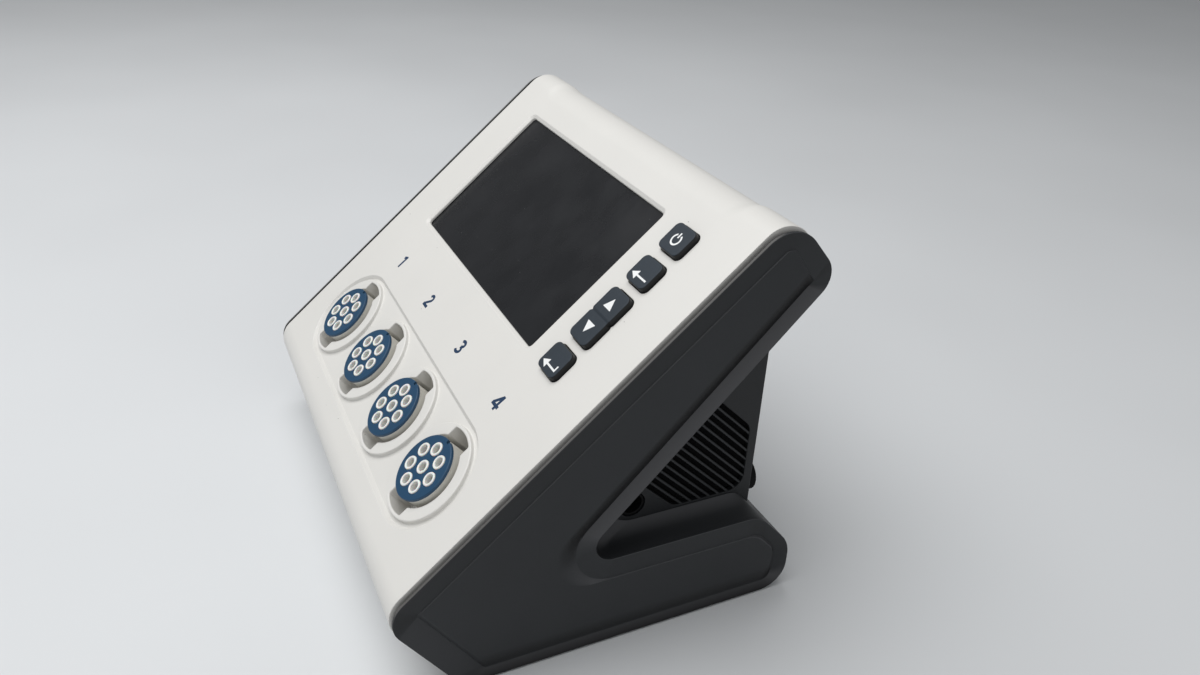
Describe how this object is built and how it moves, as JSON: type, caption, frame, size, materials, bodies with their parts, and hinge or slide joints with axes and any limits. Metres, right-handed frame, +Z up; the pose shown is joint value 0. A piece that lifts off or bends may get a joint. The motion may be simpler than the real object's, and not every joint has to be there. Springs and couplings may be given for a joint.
{
  "type": "compression therapy pump",
  "caption": "Table-top air pump controller: a leaning front panel with display, key column and round hose outlets, held between V-shaped side cheeks.",
  "frame": {"origin": "on the table, under the middle of the body's outer box", "axes": "+X to the user's right along the row of outlets, +Y to the rear, +Z up; the front panel faces -Y and leans back"},
  "size_m": [0.2594, 0.1946, 0.1936],
  "materials": {
    "off_white_abs": "fine satin",
    "dark_grey_abs": "fine moulded texture",
    "display_glass": "smooth dark window",
    "key_rubber": "matt",
    "blue_plastic": "satin",
    "grey_plastic": "satin",
    "white_plastic": "satin",
    "black_plastic": "satin",
    "foot_rubber": "matt",
    "circuit_board": "lacquered",
    "steel": "plain",
    "cast_metal": "as cast",
    "hose_silicone": "smooth",
    "filter_foam": "open foam"
  },
  "bodies": {
    "casing": {"front_cover": "off_white_abs", "right_cheek": "dark_grey_abs", "left_cheek": "dark_grey_abs", "rear_housing": "dark_grey_abs", "base_tray": "dark_grey_abs", "display_lens": "display_glass", "display_module": "steel", "display_frame": "steel", "main_board": "circuit_board", "keypad_board": "circuit_board", "outlet_cap_1": "blue_plastic", "outlet_cap_2": "blue_plastic", "outlet_cap_3": "blue_plastic", "outlet_cap_4": "blue_plastic", "outlet_sleeve_1": "grey_plastic", "outlet_sleeve_2": "grey_plastic", "outlet_sleeve_3": "grey_plastic", "outlet_sleeve_4": "grey_plastic", "outlet_tubes_1": "white_plastic", "outlet_tubes_2": "white_plastic", "outlet_tubes_3": "white_plastic", "outlet_tubes_4": "white_plastic", "outlet_hose_1": "hose_silicone", "outlet_hose_2": "hose_silicone", "outlet_hose_3": "hose_silicone", "outlet_hose_4": "hose_silicone", "valve_manifold": "grey_plastic", "compressor": "cast_metal", "compressor_motor": "steel", "supply_hose": "hose_silicone", "power_supply": "cast_metal", "fan_frame": "black_plastic", "filter_right": "filter_foam", "filter_left": "filter_foam", "service_port": "black_plastic", "power_inlet": "black_plastic", "foot_1": "foot_rubber", "foot_2": "foot_rubber", "foot_3": "foot_rubber", "foot_4": "foot_rubber", "base_screw_1": "steel", "base_screw_2": "steel", "base_screw_3": "steel", "base_screw_4": "steel"},
    "power_key": {"power_button": "key_rubber"},
    "back_key": {"back_button": "key_rubber"},
    "rocker_key": {"up_down_rocker": "key_rubber"},
    "enter_key": {"enter_button": "key_rubber"},
    "fan": {"fan_rotor": "black_plastic"}
  },
  "joints": [
    {"name": "power_press", "type": "slide", "parent": "casing", "child": "power_key", "axis": [0, 0.6547, -0.7559], "range_m": [0, 0.001], "stiffness_N_per_m": 1500, "springref_m": -0.0003},
    {"name": "back_press", "type": "slide", "parent": "casing", "child": "back_key", "axis": [0, 0.6547, -0.7559], "range_m": [0, 0.001], "stiffness_N_per_m": 1500, "springref_m": -0.0003},
    {"name": "rocker_tilt", "type": "hinge", "parent": "casing", "child": "rocker_key", "pos_m": [0.0886, 0.01314, 0.14221], "axis": [1, 0, 0], "range_deg": [-4, 4], "stiffness_Nm_per_rad": 0.2},
    {"name": "enter_press", "type": "slide", "parent": "casing", "child": "enter_key", "axis": [0, 0.6547, -0.7559], "range_m": [0, 0.001], "stiffness_N_per_m": 1500, "springref_m": -0.0003},
    {"name": "fan_spin", "type": "hinge", "parent": "casing", "child": "fan", "pos_m": [0.1, 0.051, 0.082], "axis": [1, 0, 0], "continuous": true}
  ]
}
